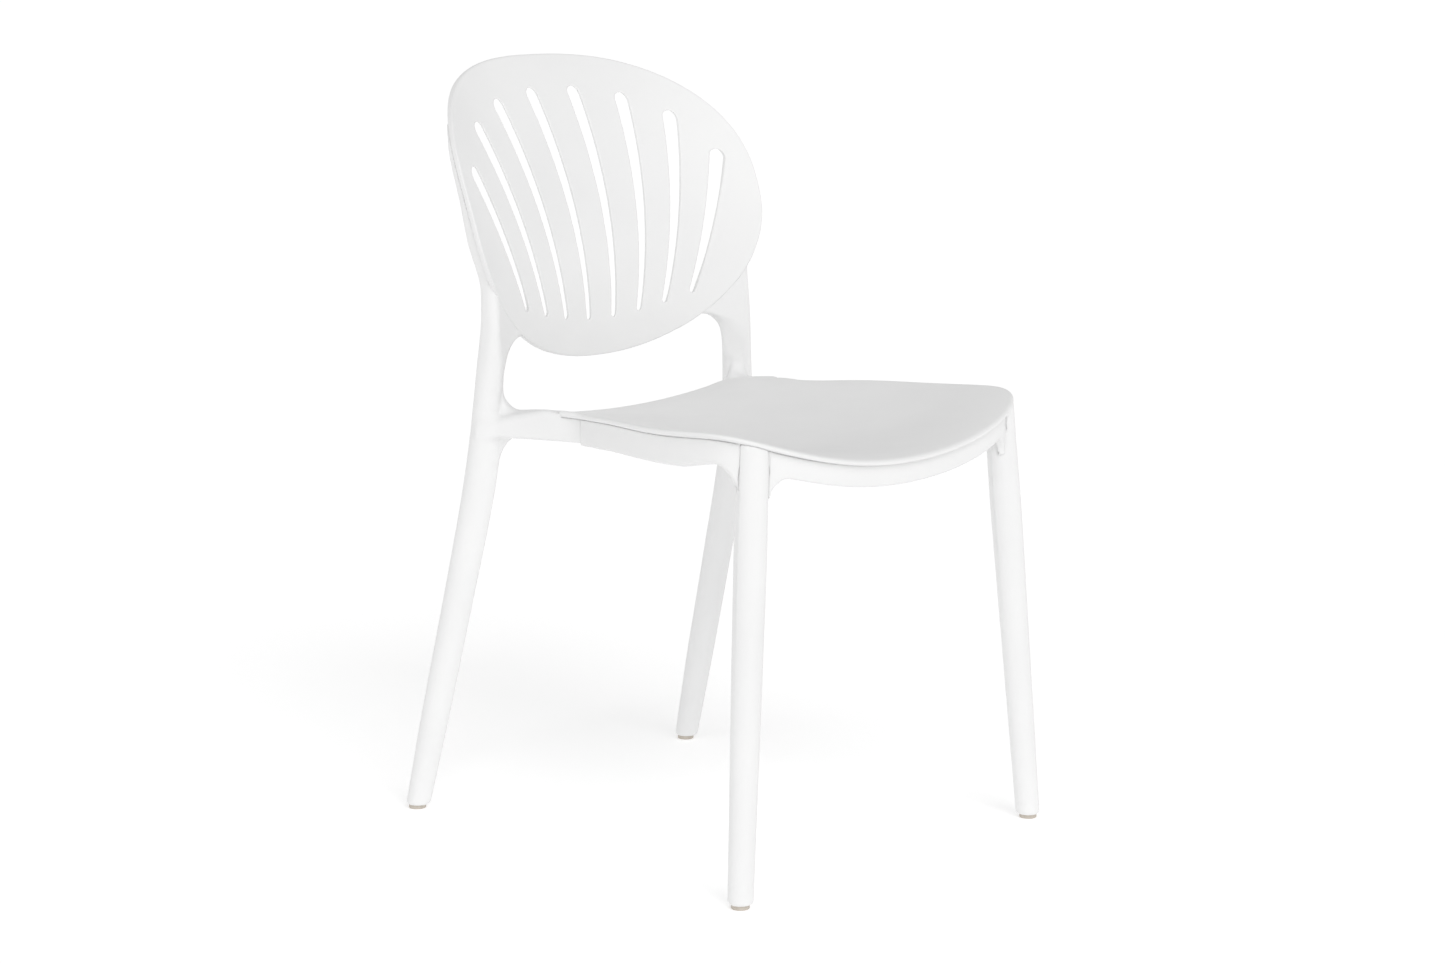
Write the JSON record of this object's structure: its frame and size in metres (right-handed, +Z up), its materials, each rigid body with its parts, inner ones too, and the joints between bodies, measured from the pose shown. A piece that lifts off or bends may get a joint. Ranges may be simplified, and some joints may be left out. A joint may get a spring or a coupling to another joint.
{
  "type": "stacking chair",
  "caption": "Armless white plastic stacking chair with a dished seat, an oval fan-slotted backrest and round splayed legs on small glides.",
  "frame": {"origin": "on the floor, under the middle of the chair's overall box", "axes": "+Z up, -Y the way the sitter faces, +X to the right when looking along +Y"},
  "size_m": [0.4696, 0.5507, 0.8],
  "materials": {
    "white_plastic": "fine satin moulded polypropylene",
    "glide_plastic": "matt moulded nylon, grey-beige",
    "fastener_steel": "zinc-plated steel",
    "insert_brass": "turned brass"
  },
  "bodies": {
    "root": {"back_shell": "white_plastic", "rear_left_leg": "white_plastic", "rear_right_leg": "white_plastic", "front_left_leg": "white_plastic", "front_right_leg": "white_plastic", "seat_frame": "white_plastic", "seat_panel": "white_plastic", "back_shell_screws": "fastener_steel", "seat_panel_screws": "fastener_steel", "side_rail_bolts": "fastener_steel", "side_rail_washers": "fastener_steel", "side_rail_inserts": "insert_brass", "front_leg_bolts": "fastener_steel", "front_leg_washers": "fastener_steel", "front_leg_inserts": "insert_brass", "front_left_glide": "glide_plastic", "front_right_glide": "glide_plastic", "rear_left_glide": "glide_plastic", "rear_right_glide": "glide_plastic"}
  },
  "joints": []
}
